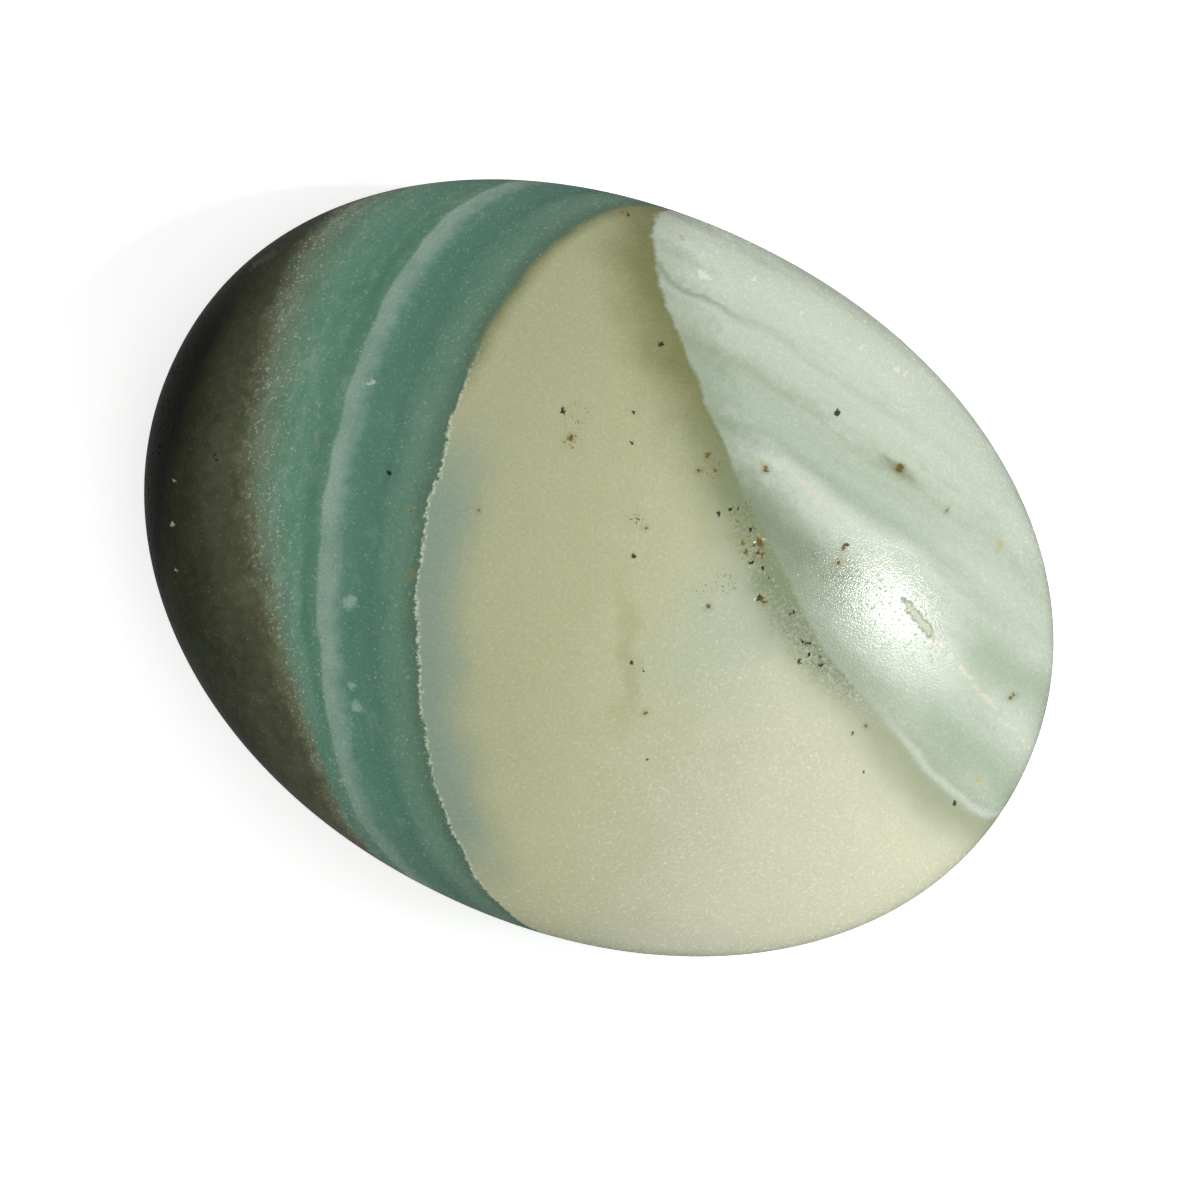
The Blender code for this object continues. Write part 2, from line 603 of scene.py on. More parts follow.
class RockFields:
    """What the beds share: places in the rock, and the soft noises that vary them.

    A shift is given as its lumps per millimetre and its reach, and a noise as its lumps
    per millimetre and its detail.
    """

    SOFT_SHIFT: Span = (0.45, 0.22)
    RAGGED_SHIFT: Span = (2.6, 0.16)
    PATCHES: Span = (0.42, 2.0)
    LUMPS: Span = (1.9, 2.0)
    MOTTLE: Span = (5.5, 1.0)
    DUST: Span = (10.0, 1.0)
    SWIRL: Span = (0.16, 1.0)
    MOTTLE_IN_GRIT: float = 0.7
    FLECK_IN_GRIT: float = 0.3
    GRAINS: Span = (0.18, 0.34)

    def __init__(self, bench: NodeBench, heading: Heading, girdle: float) -> None:
        """Reads the place in plan millimetres, with its height over the girdle.

        Args:
            bench: makes the material's nodes.
            heading: how the stone lay before the lens.
            girdle: height of the girdle over the seat, in metres.
        """
        self.bench = bench
        coordinates = bench.node("ShaderNodeTexCoord")
        sockets = {
            "Vector": coordinates.outputs["Object"],
            "Location": (0.0, 0.0, -girdle / MM),
            "Rotation": (0.0, 0.0, -heading.turn),
            "Scale": (1 / MM, 1 / MM, 1 / MM),
        }
        self.place = bench.node("ShaderNodeMapping", {}, sockets).outputs["Vector"]
        parts = bench.node("ShaderNodeSeparateXYZ", {}, {"Vector": self.place})
        self.across, self.up, self.high = (Signal(bench, output) for output in parts.outputs)
        self.soft = bench.shifted(self.place, *self.SOFT_SHIFT)
        self.ragged = bench.shifted(self.soft, *self.RAGGED_SHIFT)
        self.patch, self.drift, self.tone = bench.clouds(self.place, *self.PATCHES)
        self.lump, self.fleck = bench.clouds(self.place, *self.LUMPS)[:2]
        self.mottle = bench.cloud(self.place, *self.MOTTLE)
        self.dust = bench.cloud(self.place, *self.DUST)
        self.grit = self.dust + self.mottle * self.MOTTLE_IN_GRIT + self.fleck * self.FLECK_IN_GRIT
        self.grains = self.grit.rise(*self.GRAINS)
        self.swirl = bench.cloud(self.place, *self.SWIRL)

    def along(self, bed: Bed, kept: float) -> Socket:
        """The place, drawn out along a bed.

        Args:
            bed: the plane.
            kept: the share of the place's length along the plane that is left.

        Returns:
            The drawn-out place, for a noise to read.
        """
        reading = self.bench.reading(self.soft, bed)
        sockets = {"X": reading, "Y": self.up * kept, "Z": self.high * kept}
        return self.bench.node("ShaderNodeCombineXYZ", {}, sockets).outputs[0]


@dataclass(frozen=True)
class UmberBed:
    """The dark beds at the stone's left end. Towards the left rim, painted shade darkens them, and a
    very dark band there is partly a real bed and partly painted shade and dark reflection.
    """

    thickness: float = 13.0
    stops: Stops = (
        (0.00, tint(98, 103, 75)),
        (0.08, tint(85, 88, 61)),
        (0.18, tint(79, 82, 58)),
        (0.30, tint(73, 76, 53)),
        (0.40, tint(60, 65, 41)),
        (0.60, tint(45, 52, 27)),
        (1.00, tint(56, 62, 40)),
    )
    patch_drift: float = 2.2
    strata_drift: float = 1.2
    fleck_light: float = 0.7
    tone_light: float = 0.9
    dust: Colour = tint(142, 144, 114)
    dust_share: float = 0.30
    # Darkens the beds towards the left rim: partly their own darker colour, partly painted shade.
    shade: Colour = tint(34, 37, 16)
    shade_reach: Span = (5.5, 0.5)
    shade_share: float = 0.6
    # A very dark band along the left rim: partly a real dark bed, partly painted shade and a painted
    # dark reflection.
    black_and_shade: Colour = tint(10, 14, 3)
    black_and_shade_bed: Bed = Bed(1.0, -0.37, 1.05, -21.1)
    black_and_shade_waver: float = 0.8
    black_and_shade_reach: Span = (1.6, -0.8)
    black_and_shade_up: Span = (18.0, 11.0)
    black_and_shade_shares: Span = (0.3, 0.9)

    def colour(self, rock: RockFields, edge: Signal, strata: Signal) -> Socket:
        """The bed's colour.

        Args:
            rock: the shared places and noises.
            edge: the reading of the umber's edge.
            strata: the noise that is drawn out along the beds.

        Returns:
            The colour.
        """
        bench = rock.bench
        depth = rock.patch * self.patch_drift + strata * self.strata_drift - edge
        stone = bench.ramp(depth / self.thickness, self.stops)
        stone = bench.dim(stone, 1.0 + rock.fleck * self.fleck_light + rock.tone * self.tone_light)
        stone = bench.mix(rock.grains * self.dust_share, stone, self.dust)
        left = bench.reading(rock.soft, self.black_and_shade_bed) + rock.fleck * self.black_and_shade_waver
        # Painted shade towards the left rim, then the very dark band, which is part real bed and part
        # painted shade and dark reflection.
        stone = bench.mix(left.rise(*self.shade_reach) * self.shade_share, stone, self.shade)
        black_and_shade = left.rise(*self.black_and_shade_reach) * rock.up.rise(*self.black_and_shade_up).between(*self.black_and_shade_shares)
        return bench.mix(black_and_shade, stone, self.black_and_shade)


@dataclass(frozen=True)
class Teal:
    """What the two teal beds share: colours across the bed, with pale and deep clouds in them."""

    stops: Stops
    drift: float
    strata_lumps: float
    soft_lumps: float
    cloud: Colour
    cloud_reach: Span
    cloud_share: float
    deep: Colour
    deep_reach: Span
    deep_share: float
    grain: Colour

    def clouded(self, rock: RockFields, share: Signal, strata: Signal) -> Socket:
        """The bed without its grains.

        Args:
            rock: the shared places and noises.
            share: how far across the bed a place is, from 0 to 1.
            strata: the noise that is drawn out along the beds.

        Returns:
            The colour.
        """
        bench = rock.bench
        stone = bench.ramp(share + rock.drift * self.drift, self.stops)
        lumps = strata * self.strata_lumps + rock.lump * self.soft_lumps
        stone = bench.mix(lumps.rise(*self.cloud_reach) * self.cloud_share, stone, self.cloud)
        return bench.mix(lumps.rise(*self.deep_reach) * self.deep_share, stone, self.deep)


@dataclass(frozen=True)
class CloudedTeal(Teal):
    """The clouded teal between the umber and the pale streak, with more grains near the umber."""

    stops: Stops = (
        (0.00, tint(108, 116, 90)),
        (0.12, tint(116, 132, 106)),
        (0.25, tint(116, 141, 118)),
        (0.38, tint(108, 145, 122)),
        (0.50, tint(107, 149, 127)),
        (0.62, tint(103, 148, 127)),
        (0.76, tint(96, 141, 119)),
        (1.00, tint(94, 138, 117)),
    )
    drift: float = 0.12
    strata_lumps: float = 0.9
    soft_lumps: float = 0.5
    cloud: Colour = tint(148, 174, 156)
    cloud_reach: Span = (0.0, 0.26)
    cloud_share: float = 0.45
    deep: Colour = tint(84, 130, 110)
    deep_reach: Span = (0.0, -0.26)
    deep_share: float = 0.60
    grain: Colour = tint(196, 200, 170)
    near_umber: Span = (6.0, 0.0)
    extra_grit: float = 0.06
    grain_shares: Span = (0.40, 0.75)

    def colour(self, rock: RockFields, edge: Signal, streak: Signal, strata: Signal) -> Socket:
        """The bed's colour.

        Args:
            rock: the shared places and noises.
            edge: the reading of the umber's edge.
            streak: the reading of the pale streak.
            strata: the noise that is drawn out along the beds.

        Returns:
            The colour.
        """
        stone = self.clouded(rock, edge / (edge - streak), strata)
        near = edge.rise(*self.near_umber)
        grains = (rock.grit + near * self.extra_grit).rise(*rock.GRAINS)
        return rock.bench.mix(grains * near.between(*self.grain_shares), stone, self.grain)


@dataclass(frozen=True)
class DeepTeal(Teal):
    """The deep teal between the pale streak and the cream."""

    stops: Stops = (
        (0.00, tint(106, 148, 130)),
        (0.20, tint(96, 140, 121)),
        (0.31, tint(90, 135, 116)),
        (0.44, tint(87, 131, 113)),
        (0.54, tint(84, 127, 108)),
        (0.62, tint(94, 133, 114)),
        (0.70, tint(102, 138, 118)),
        (0.82, tint(103, 138, 117)),
        (0.92, tint(93, 124, 103)),
        (1.00, tint(86, 113, 93)),
    )
    drift: float = 0.08
    strata_lumps: float = 0.8
    soft_lumps: float = 0.4
    cloud: Colour = tint(128, 160, 142)
    cloud_reach: Span = (0.02, 0.28)
    cloud_share: float = 0.40
    deep: Colour = tint(74, 116, 98)
    deep_reach: Span = (-0.02, -0.26)
    deep_share: float = 0.45
    grain: Colour = tint(196, 206, 184)
    grain_share: float = 0.30

    def colour(self, rock: RockFields, streak: Signal, seam: Signal, strata: Signal) -> Socket:
        """The bed's colour.

        Args:
            rock: the shared places and noises.
            streak: the reading of the pale streak.
            seam: the reading of the cream's seam.
            strata: the noise that is drawn out along the beds.

        Returns:
            The colour.
        """
        stone = self.clouded(rock, streak / (streak - seam), strata)
        return rock.bench.mix(rock.grains * self.grain_share, stone, self.grain)


@dataclass(frozen=True)
class PaleStreak:
    """The pale streak between the two teals: crisp on its left and faded on its right."""

    shadow: Colour = tint(84, 126, 106)
    shadow_hill: Span = (-0.95, 0.70)
    shadow_share: float = 0.45
    shadow_patches: float = 2.0
    pale: Colour = tint(147, 175, 160)
    left_edge: Span = (-0.30, 0.02)
    right_fade: Span = (1.9, 0.45)
    pale_up: Span = (-15.0, -7.0)
    pale_shares: Span = (0.45, 0.80)
    pale_tones: float = 1.4
    grain: Colour = tint(190, 184, 148)
    grain_hill: Span = (0.15, 0.75)
    grain_dust: Span = (0.08, 0.20)
    grain_share: float = 0.6

    def laid_on(self, rock: RockFields, stone: Socket, streak: Signal) -> Socket:
        """The stone with the streak on it.

        Args:
            rock: the shared places and noises.
            stone: the colour so far.
            streak: the reading of the streak.

        Returns:
            The new colour.
        """
        bench = rock.bench
        dark = streak.hill(*self.shadow_hill) * (self.shadow_share + rock.patch * self.shadow_patches)
        stone = bench.mix(dark, stone, self.shadow)
        body = streak.rise(*self.left_edge) * (streak - rock.lump).rise(*self.right_fade)
        share = rock.up.rise(*self.pale_up).between(*self.pale_shares) + rock.tone * self.pale_tones
        stone = bench.mix(body * share, stone, self.pale)
        grains = streak.hill(*self.grain_hill) * rock.dust.rise(*self.grain_dust)
        return bench.mix(grains * self.grain_share, stone, self.grain)


@dataclass(frozen=True)
class CreamBed:
    """The cream bed, with the teal showing through its thin left edge.

    Its stops run across it with a lean. The other colours lie on it in soft patches, each
    with its reach across the stone or from a seam, its reach up the stone, and its share.
    A waver is how far a noise moves a patch's edge, in millimetres.
    """

    stops: Stops = (
        (0.00, tint(183, 186, 147)),
        (0.25, tint(189, 191, 152)),
        (0.39, tint(196, 198, 160)),
        (0.54, tint(199, 202, 169)),
        (0.63, tint(206, 209, 179)),
        (0.75, tint(213, 216, 187)),
        (0.88, tint(218, 220, 190)),
        (1.00, tint(222, 224, 194)),
    )
    start: float = -8.0
    breadth: float = 28.0
    lean: float = 0.35
    drift: float = 0.20
    lumps: float = 0.05
    light_lean: float = 0.6
    greenish: Colour = tint(184, 200, 176)
    greenish_waver: float = 5.0
    greenish_across: Span = (9.0, 6.0)
    greenish_up: Span = (-2.5, 6.0)
    greenish_share: float = 0.6
    khaki: Colour = tint(166, 162, 112)
    khaki_waver: float = 3.0
    khaki_across: Span = (1.5, 0.9)
    khaki_up: Span = (-4.5, 6.0)
    khaki_share: float = 0.42
    veil: Colour = tint(144, 164, 146)
    veil_waver: float = 1.6
    veil_reach: Span = (4.6, 0.6)
    veil_top: Span = (9.5, 3.0)
    veil_foot: Span = (-18.0, -13.0)
    veil_share: float = 0.92
    olive: Colour = tint(129, 131, 84)
    edge_reach: Span = (1.1, 0.0)
    edge_up: Span = (8.0, 12.0)
    edge_share: float = 0.7
    bruised: Colour = tint(118, 133, 107)
    bruise_waver: float = 1.4
    bruise_hill: Span = (-0.2, 2.2)
    bruise_top: Span = (2.5, -0.5)
    bruise_foot: Span = (-9.5, -4.5)
    bruise_share: float = 0.72
    bruise_mottle: float = 2.2
    bruise_dust: float = 1.4
    grey: Colour = tint(130, 142, 106)
    foot_waver: float = 0.8
    foot_reach: Span = (-2.4, -0.2)
    foot_up: Span = (-6.0, -9.0)
    foot_share: float = 0.42
    salt: Colour = tint(238, 240, 220)
    salt_reach: Span = (2.0, 12.0)
    salt_share: float = 0.40
    shade_waver: float = 1.6
    shade_reach: Span = (-4.8, 0.0)
    shade_bend: float = 1.6
    shade_greys: Span = (11.0, 3.0)
    shade_up: Span = (-8.0, 0.0)
    shade_shares: Span = (0.35, 0.95)
    sand_mottle: float = 1.5
    sand_dust: float = 1.2
    sand_up: Span = (5.0, 0.0)

    def colour(self, rock: RockFields, teal_seam: Signal, green_seam: Signal) -> Socket:
        """The bed's colour.

        Args:
            rock: the shared places and noises.
            teal_seam: the reading of the seam on its left.
            green_seam: the reading of the seam on its right.

        Returns:
            The colour.
        """
        bench = rock.bench
        across, up = rock.across, rock.up
        way = (across - up * self.lean - self.start) / self.breadth
        stone = bench.ramp(way + rock.drift * self.drift + rock.lump * self.lumps, self.stops)

        pale = (across - up * self.light_lean + rock.patch * self.greenish_waver).hill(
            *self.greenish_across
        )
        pale = pale * up.hill(*self.greenish_up)
        stone = bench.mix(pale * self.greenish_share, stone, self.greenish)
        stain = (across - rock.patch * self.khaki_waver).hill(*self.khaki_across)
        stone = bench.mix(stain * up.hill(*self.khaki_up) * self.khaki_share, stone, self.khaki)

        thin = (teal_seam + rock.drift * self.veil_waver).rise(*self.veil_reach)
        thin = thin * up.rise(*self.veil_top) * up.rise(*self.veil_foot)
        stone = bench.mix(thin * self.veil_share, stone, self.veil)
        edge = teal_seam.rise(*self.edge_reach) * up.rise(*self.edge_up)
        stone = bench.mix(edge * self.edge_share, stone, self.olive)

        bruise = (green_seam + rock.fleck * self.bruise_waver).hill(*self.bruise_hill)
        bruise = bruise * up.rise(*self.bruise_top) * up.rise(*self.bruise_foot)
        mottled = self.bruise_share + rock.mottle * self.bruise_mottle + rock.dust * self.bruise_dust
        stone = bench.mix(bruise * mottled, stone, self.bruised)
        foot = (green_seam + rock.tone * self.foot_waver).rise(*self.foot_reach)
        stone = bench.mix(foot * up.rise(*self.foot_up) * self.foot_share, stone, self.grey)
        salt = rock.grains * (across - up * self.light_lean).rise(*self.salt_reach)
        stone = bench.mix(salt * self.salt_share, stone, self.salt)

        depth = (green_seam + rock.tone * self.shade_waver).rise(*self.shade_reach) ** self.shade_bend
        shade = bench.mix(up.rise(*self.shade_greys), self.olive, self.grey)
        sand = rock.mottle * self.sand_mottle + rock.dust * self.sand_dust
        sandy = 1.0 + sand * up.rise(*self.sand_up)
        share = depth * up.rise(*self.shade_up).between(*self.shade_shares) * sandy
        return bench.mix(share, stone, shade)


@dataclass(frozen=True)
class GreenBed:
    """The pale green bed, with soft streaks that fan out of the top of its seam.

    Its stops follow the flow, which is counted across its streaks. The other colours lie on
    it in soft patches, each with its reach along the flow, across or up the stone, and its
    share.
    """

    stops: Stops = (
        (0.00, tint(188, 199, 172)),
        (0.07, tint(186, 199, 174)),
        (0.14, tint(190, 203, 182)),
        (0.21, tint(192, 205, 184)),
        (0.33, tint(192, 205, 184)),
        (0.41, tint(196, 209, 188)),
        (0.45, tint(212, 221, 205)),
        (0.48, tint(200, 212, 192)),
        (0.505, tint(180, 195, 173)),
        (0.55, tint(189, 203, 182)),
        (0.62, tint(190, 203, 181)),
        (0.645, tint(178, 192, 167)),
        (0.67, tint(194, 206, 184)),
        (0.71, tint(206, 217, 196)),
        (0.77, tint(210, 221, 201)),
        (0.79, tint(200, 212, 191)),
        (0.82, tint(212, 223, 203)),
        (0.90, tint(219, 229, 211)),
        (1.00, tint(213, 223, 204)),
    )
    flow: Bed = Bed(0.628, 1.0, -0.175, 0.0)
    breadth: float = 21.0
    flow_lumps: float = 0.4
    flow_swirl: float = 3.0
    smeared: Colour = tint(112, 114, 68)
    smear_flow: Span = (13.90, 0.62)
    smear_across: Span = (15.8, 1.7)
    smear_share: float = 0.8
    thread_flow: Span = (16.6, 0.30)
    thread_across: Span = (8.5, 5.5)
    thread_share: float = 0.5
    plain: Colour = tint(203, 214, 195)
    plain_waver: float = 4.0
    plain_across: Span = (15.0, 21.0)
    plain_share: float = 0.8
    milk: Colour = tint(222, 230, 214)
    shade: Colour = tint(168, 182, 156)
    streak_kept: float = 0.30
    streak_noise: Span = (0.55, 3.0)
    streak_lumps: float = 0.25
    streak_reach: float = 0.25
    streak_share: float = 0.40
    low: Colour = tint(174, 190, 165)
    low_waver: float = 3.0
    middle_flow: Span = (7.3, 2.3)
    middle_across: Span = (18.3, 20.3)
    foot_flow: Span = (2.0, 2.4)
    foot_across: Span = (15.5, 18.5)
    low_share: float = 0.95
    dark: Colour = tint(136, 150, 122)
    hollow_flow: Span = (5.7, 3.0)
    hollow_across: Span = (16.2, 11.0)
    hollow_share: float = 0.95
    hollow_tones: float = 1.5
    vein: Colour = tint(226, 222, 196)
    vein_bed: Bed = Bed(1.178, 1.0, 0.070, 17.58)
    vein_waver: float = 0.5
    vein_hill: Span = (0.0, 0.32)
    vein_broken: Span = (-0.10, 0.08)
    vein_start: Span = (11.2, 2.2)
    vein_end: Span = (16.4, 18.0)
    vein_share: float = 0.9
    seam_lumps: float = 0.8
    seam_streaks: float = 2.0
    seam_reach: Span = (2.6, 0.0)
    seam_up: Span = (2.0, 11.0)
    seam_shares: Span = (0.35, 0.75)
    lip_hill: Span = (0.35, 0.40)
    lip_up: Span = (-7.0, -9.5)
    lip_share: float = 0.5

    def colour(self, rock: RockFields, seam: Signal) -> Socket:
        """The bed's colour.

        Args:
            rock: the shared places and noises.
            seam: the reading of the seam on its left.

        Returns:
            The colour.
        """
        bench = rock.bench
        across, up = rock.across, rock.up
        flow = bench.reading(rock.soft, self.flow) + rock.lump * self.flow_lumps
        flow = flow + rock.swirl * self.flow_swirl
        stone = bench.ramp(flow / self.breadth, self.stops)
        smear = (flow - rock.swirl * self.flow_swirl).hill(*self.smear_flow)
        smear = smear * across.hill(*self.smear_across)
        stone = bench.mix(smear * self.smear_share, stone, self.smeared)
        thread = flow.hill(*self.thread_flow) * across.rise(*self.thread_across)
        stone = bench.mix(thread * self.thread_share, stone, self.dark)
        faded = (across + rock.patch * self.plain_waver).rise(*self.plain_across)
        stone = bench.mix(faded * self.plain_share, stone, self.plain)

        drawn_out = rock.along(self.flow, self.streak_kept)
        streaks = bench.cloud(drawn_out, *self.streak_noise) + rock.lump * self.streak_lumps
        stone = bench.mix(streaks.rise(0.0, self.streak_reach) * self.streak_share, stone, self.milk)
        stone = bench.mix(streaks.rise(0.0, -self.streak_reach) * self.streak_share, stone, self.shade)
        middle = flow.hill(*self.middle_flow)
        middle = middle * (across + rock.patch * self.low_waver).rise(*self.middle_across)
        foot = flow.hill(*self.foot_flow)
        foot = foot * (across + rock.patch * self.low_waver).rise(*self.foot_across)
        stone = bench.mix(middle.at_least(foot) * self.low_share, stone, self.low)
        hollow = flow.hill(*self.hollow_flow) * across.rise(*self.hollow_across)
        toned = self.hollow_share + rock.tone * self.hollow_tones
        stone = bench.mix(hollow * toned, stone, self.dark)

        vein = bench.reading(rock.soft, self.vein_bed) + rock.lump * self.vein_waver
        line = vein.hill(*self.vein_hill) * rock.fleck.rise(*self.vein_broken)
        part = across.hill(*self.vein_start).at_least(across.rise(*self.vein_end))
        stone = bench.mix(line * part * self.vein_share, stone, self.vein)
        reach = seam + rock.lump * self.seam_lumps + streaks * self.seam_streaks
        beside = reach.rise(*self.seam_reach) * up.hill(*self.seam_up).between(*self.seam_shares)
        stone = bench.mix(beside, stone, self.dark)
        lip = seam.hill(*self.lip_hill) * up.rise(*self.lip_up)
        return bench.mix(lip * self.lip_share, stone, self.milk)


@dataclass(frozen=True)
class Inclusions:
    """The specks on the top, ragged, with ochre dust and a faint stain round the rusty ones."""

    top: Span = (0.0, 0.5)
    raggedness: float = 0.22
    ochre: Colour = tint(122, 104, 52)
    ochre_mottle: float = 0.8
    ochre_dots: Span = (0.13, 0.20)
    ochre_reach: Span = (0.0, 0.6)
    ochre_share: float = 0.85
    stain: Colour = tint(150, 140, 86)
    stain_reach: Span = (-0.30, 0.05)
    stain_share: float = 0.35
    edge: float = 0.05

    def laid_on(self, rock: RockFields, stone: Socket) -> tuple[Socket, Signal]:
        """The stone with its specks on it, on the top alone.

        Args:
            rock: the shared places and noises.
            stone: the colour so far.

        Returns:
            The new colour, and how far the specks left each place unpolished, 0 to 1.
        """
        bench = rock.bench
        unpolished: Amount = 0.0
        flat = bench.vector("MULTIPLY", rock.ragged, (1.0, 1.0, 0.0)).outputs["Vector"]
        on_top = rock.high.rise(*self.top)
        frayed = (rock.mottle + rock.dust) * self.raggedness
        dots = (rock.dust + rock.mottle * self.ochre_mottle).rise(*self.ochre_dots) * on_top
        dusted = self._depth_in(rock, flat, DUSTINGS).rise(*self.ochre_reach)
        stone = bench.mix(dots * dusted * self.ochre_share, stone, self.ochre)
        for mineral, specks in SPECKS.items():
            depth = self._depth_in(rock, flat, specks)
            if mineral is Mineral.RUST:
                stained = depth.rise(*self.stain_reach) * on_top * self.stain_share
                stone = bench.mix(stained, stone, self.stain)
            mask = (depth + frayed).rise(-mineral.blur, self.edge + mineral.blur / 2) * on_top
            stone = bench.mix(mask * mineral.strength, stone, mineral.value)
            if mineral in (Mineral.BLACK, Mineral.RUST):
                unpolished = mask.at_least(unpolished)
        return stone, unpolished

    @staticmethod
    def _depth_in(rock: RockFields, flat: Socket, specks: tuple[Speck, ...]) -> Signal:
        """How deep a place is inside the nearest of the specks.

        Args:
            rock: the shared places and noises.
            flat: the place, without its height.
            specks: the specks.

        Returns:
            The depth in millimetres, which is less than 0 outside them.
        """
        depth: Amount = -1.0
        for speck in specks:
            centre = (speck.across, speck.up, 0.0)
            away = Signal(rock.bench, rock.bench.vector("DISTANCE", flat, centre).outputs["Value"])
            depth = (speck.radius - away).at_least(depth)
        return depth


@dataclass(frozen=True)
class OpenMark:
    """The unpolished inside of an open mark, with a thin outline."""

    inside: Colour
    inside_share: float
    outline: Colour
    outline_share: float
    inside_reach: Span = (-0.05, 0.20)
    outline_hill: Span = (0.04, 0.14)
    fleck_waver: float = 0.8
    mottle_waver: float = 2.6

    def depth(self, rock: RockFields, mark: Mark) -> Signal:
        """How deep a place is in the mark's plan.

        Args:
            rock: the shared places and noises.
            mark: the mark.

        Returns:
            1 in the middle of the mark, 0 on its outline and less outside it.
        """
        along, beside = (rock.bench.reading(rock.ragged, bed) for bed in mark.beds())
        along = along * (2 / mark.length)
        beside = beside * (2 / mark.width)
        waver = 1.0 + rock.fleck * self.fleck_waver + rock.mottle * self.mottle_waver
        return waver - (along * along + beside * beside) ** 0.5

    def laid_on(self, rock: RockFields, stone: Socket, depth: Signal) -> Socket:
        """The stone with the mark's colour in it.

        Args:
            rock: the shared places and noises.
            stone: the colour so far.
            depth: what depth gives for the mark.

        Returns:
            The new colour.
        """
        inside = depth.rise(*self.inside_reach) * self.inside_share
        stone = rock.bench.mix(inside, stone, self.inside)
        outline = depth.hill(*self.outline_hill) * self.outline_share
        return rock.bench.mix(outline, stone, self.outline)


@dataclass(frozen=True)
class BandedRock:
    """The finish of the whole stone: its beds, seams, veins, specks and polish.

    Each seam is a plane of the rock's layering, bent over some stretch up the stone, and
    blurred over some millimetres. Roughnesses and shares run from 0 to 1.
    """

    heading: Heading
    girdle: float
    pocket: Mark
    vein: OpenMark = OpenMark(tint(214, 218, 196), 1.0, tint(168, 178, 152), 0.4)
    scar: OpenMark = OpenMark(tint(78, 86, 64), 0.6, tint(126, 134, 108), 0.25)
    scar_face: Mark = Mark(-18.04, 16.15, 31.0, 2.2, 0.55, 0.0)
    scar_foot: Span = (1.9, 1.2)
    scar_foot_depth: float = 2.0
    strata_kept: float = 0.30
    strata_noise: Span = (1.1, 3.0)
    umber_edge: Bed = Bed(1.0, 0.089, 1.033, -11.37)
    umber_lumps: float = 1.4
    umber_mottle: float = 0.8
    umber_shift: float = 0.6
    umber_bulge: Span = (4.5, 7.0)
    umber_foot: Span = (-9.0, -15.0)
    umber_foot_bend: float = 1.3
    streak: Bed = Bed(1.0, -0.147, 1.084, -6.00)
    streak_foot: Span = (-6.0, -13.0)
    streak_bend: float = 0.5
    teal_seam: Bed = Bed(1.0, -0.170, 1.125, 1.08)
    teal_crisp: Span = (12.0, 7.0)
    teal_blur: float = 0.35
    teal_crispness: float = 0.30
    green_seam: Bed = Bed(1.0, 0.535, 0.516, 14.40)
    green_top: Span = (9.0, 8.0)
    green_top_bend: float = 0.25
    green_middle: Span = (-3.6, 4.5)
    green_middle_bend: float = 0.40
    green_waver: float = 0.4
    green_blur: float = 0.16
    umber_blur: float = 1.0
    streak_blur: Span = (-0.3, 0.6)
    crystal: Colour = tint(206, 214, 190)
    crystal_hill: Span = (0.02, 0.20)
    crystal_broken: Span = (-0.14, 0.06)
    crystal_up: Span = (13.0, 8.0)
    crystal_share: float = 0.8
    mottle_light: float = 0.14
    dust_light: float = 0.20
    roughness: float = 0.20
    dust_roughness: float = 0.3
    pinholes: Span = (0.12, 0.17)
    pinhole_roughness: float = 0.6
    open_reach: Span = (-0.05, 0.10)
    open_roughness: float = 0.8
    grain_depth: float = 0.000010
    refraction: float = 1.5
    coat: float = 0.45
    coat_roughness: float = 0.38
    coat_fades: Span = (0.30, 0.70)

    def material(self) -> bpy.types.Material:
        """Makes the finish.

        Returns:
            The material.
        """
        made = bpy.data.materials.new("banded_rock")
        made.use_nodes = True
        bench = NodeBench(made.node_tree)
        rock = RockFields(bench, self.heading, self.girdle)
        depth = self.vein.depth(rock, self.pocket)
        scar_depth = self.scar.depth(rock, self.scar_face)
        scar_depth = scar_depth - rock.high.rise(*self.scar_foot) * self.scar_foot_depth
        stone = self.scar.laid_on(rock, self._beds(rock), scar_depth)
        stone, unpolished = Inclusions().laid_on(rock, stone)
        stone = self.vein.laid_on(rock, stone, depth)
        stone = bench.dim(stone, 1.0 + rock.mottle * self.mottle_light + rock.dust * self.dust_light)
        open_share = depth.rise(*self.open_reach).at_least(unpolished)
        roughness, bump = self._polish(rock, open_share)
        shader = bench.node(
            "ShaderNodeBsdfPrincipled",
            {},
            {
                "Base Color": stone,
                "Roughness": roughness,
                "Normal": bump,
                "IOR": self.refraction,
                "Coat Weight": (1.0 - roughness.rise(*self.coat_fades)) * self.coat,
                "Coat Roughness": self.coat_roughness,
            },
        )
        bench.node("ShaderNodeOutputMaterial", {}, {"Surface": shader.outputs[0]})
        return made

    def _beds(self, rock: RockFields) -> Socket:
        """The beds side by side, each up to its own seam.

        Args:
            rock: the shared places and noises.

        Returns:
            The colour of the beds and seams.
        """
        bench, up = rock.bench, rock.up
        strata = bench.cloud(rock.along(self.streak, self.strata_kept), *self.strata_noise)
        umber_bend = self.umber_shift - self.umber_shift * up.hill(*self.umber_bulge)
        umber_bend = umber_bend - self.umber_foot_bend * up.rise(*self.umber_foot)
        umber_edge = bench.reading(rock.soft, self.umber_edge) + rock.lump * self.umber_lumps
        umber_edge = umber_edge + rock.mottle * self.umber_mottle - umber_bend
        streak = bench.reading(rock.soft, self.streak) + up.rise(*self.streak_foot) * self.streak_bend
        smooth_seam = bench.reading(rock.soft, self.teal_seam)
        crisp = up.rise(*self.teal_crisp)
        teal_seam = smooth_seam + (bench.reading(rock.ragged, self.teal_seam) - smooth_seam) * crisp
        bend = self.green_top_bend * up.hill(*self.green_top)
        bend = bend - self.green_middle_bend * up.hill(*self.green_middle)
        green_seam = bench.reading(rock.soft, self.green_seam) - bend

